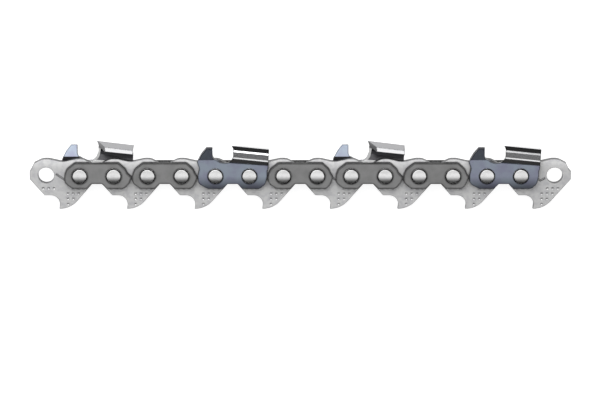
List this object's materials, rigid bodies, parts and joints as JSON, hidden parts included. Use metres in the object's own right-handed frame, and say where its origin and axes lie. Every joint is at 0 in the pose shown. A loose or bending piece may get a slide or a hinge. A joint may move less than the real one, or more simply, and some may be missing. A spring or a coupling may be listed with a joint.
{
  "type": "saw chain length",
  "caption": "Straight open length of full-chisel saw chain with eight drive links, four cutters, ten tie straps and fourteen rivets.",
  "frame": {"origin": "middle of the open rivet hole in the leading drive link, half way through the link", "axes": "+X along the chain from its leading end to its trailing end, +Y from the drive tangs to the cutting edges, +Z along the rivets to the left side of the chain"},
  "size_m": [0.1488, 0.0183, 0.0064],
  "materials": {
    "drive_link_steel": "satin, pressed",
    "strap_steel": "matt grey, tumbled",
    "cutter_steel": "blued body with chromed side plate and top plate",
    "rivet_steel": "bright, peened"
  },
  "bodies": {
    "link_1": {"drive_link_1": "drive_link_steel"},
    "link_2": {"drive_link_2": "drive_link_steel"},
    "link_3": {"drive_link_3": "drive_link_steel"},
    "link_4": {"drive_link_4": "drive_link_steel"},
    "link_5": {"drive_link_5": "drive_link_steel"},
    "link_6": {"drive_link_6": "drive_link_steel"},
    "link_7": {"drive_link_7": "drive_link_steel"},
    "link_8": {"drive_link_8": "drive_link_steel"},
    "pair_1": {"left_tie_strap_1": "strap_steel", "right_cutter_1": "cutter_steel", "rivet_01": "rivet_steel", "rivet_02": "rivet_steel"},
    "pair_2": {"left_tie_strap_2": "strap_steel", "right_tie_strap_2": "strap_steel", "rivet_03": "rivet_steel", "rivet_04": "rivet_steel"},
    "pair_3": {"left_cutter_3": "cutter_steel", "right_tie_strap_3": "strap_steel", "rivet_05": "rivet_steel", "rivet_06": "rivet_steel"},
    "pair_4": {"left_tie_strap_4": "strap_steel", "right_tie_strap_4": "strap_steel", "rivet_07": "rivet_steel", "rivet_08": "rivet_steel"},
    "pair_5": {"left_tie_strap_5": "strap_steel", "right_cutter_5": "cutter_steel", "rivet_09": "rivet_steel", "rivet_10": "rivet_steel"},
    "pair_6": {"left_tie_strap_6": "strap_steel", "right_tie_strap_6": "strap_steel", "rivet_11": "rivet_steel", "rivet_12": "rivet_steel"},
    "pair_7": {"left_cutter_7": "cutter_steel", "right_tie_strap_7": "strap_steel", "rivet_13": "rivet_steel", "rivet_14": "rivet_steel"}
  },
  "joints": [
    {"name": "rivet_08_hinge", "type": "hinge", "parent": "pair_4", "child": "link_5", "pos_m": [0.07456, 0, 0], "axis": [0, 0, 1], "range_deg": [-35, 10]},
    {"name": "rivet_09_hinge", "type": "hinge", "parent": "link_5", "child": "pair_5", "pos_m": [0.08388, 0, 0], "axis": [0, 0, 1], "range_deg": [-35, 10]},
    {"name": "rivet_10_hinge", "type": "hinge", "parent": "pair_5", "child": "link_6", "pos_m": [0.0932, 0, 0], "axis": [0, 0, 1], "range_deg": [-35, 10]},
    {"name": "rivet_11_hinge", "type": "hinge", "parent": "link_6", "child": "pair_6", "pos_m": [0.10252, 0, 0], "axis": [0, 0, 1], "range_deg": [-35, 10]},
    {"name": "rivet_12_hinge", "type": "hinge", "parent": "pair_6", "child": "link_7", "pos_m": [0.11184, 0, 0], "axis": [0, 0, 1], "range_deg": [-35, 10]},
    {"name": "rivet_13_hinge", "type": "hinge", "parent": "link_7", "child": "pair_7", "pos_m": [0.12116, 0, 0], "axis": [0, 0, 1], "range_deg": [-35, 10]},
    {"name": "rivet_14_hinge", "type": "hinge", "parent": "pair_7", "child": "link_8", "pos_m": [0.13048, 0, 0], "axis": [0, 0, 1], "range_deg": [-35, 10]},
    {"name": "rivet_07_hinge", "type": "hinge", "parent": "pair_4", "child": "link_4", "pos_m": [0.06524, 0, 0], "axis": [0, 0, 1], "range_deg": [-10, 35]},
    {"name": "rivet_06_hinge", "type": "hinge", "parent": "link_4", "child": "pair_3", "pos_m": [0.05592, 0, 0], "axis": [0, 0, 1], "range_deg": [-10, 35]},
    {"name": "rivet_05_hinge", "type": "hinge", "parent": "pair_3", "child": "link_3", "pos_m": [0.0466, 0, 0], "axis": [0, 0, 1], "range_deg": [-10, 35]},
    {"name": "rivet_04_hinge", "type": "hinge", "parent": "link_3", "child": "pair_2", "pos_m": [0.03728, 0, 0], "axis": [0, 0, 1], "range_deg": [-10, 35]},
    {"name": "rivet_03_hinge", "type": "hinge", "parent": "pair_2", "child": "link_2", "pos_m": [0.02796, 0, 0], "axis": [0, 0, 1], "range_deg": [-10, 35]},
    {"name": "rivet_02_hinge", "type": "hinge", "parent": "link_2", "child": "pair_1", "pos_m": [0.01864, 0, 0], "axis": [0, 0, 1], "range_deg": [-10, 35]},
    {"name": "rivet_01_hinge", "type": "hinge", "parent": "pair_1", "child": "link_1", "pos_m": [0.00932, 0, 0], "axis": [0, 0, 1], "range_deg": [-10, 35]}
  ]
}
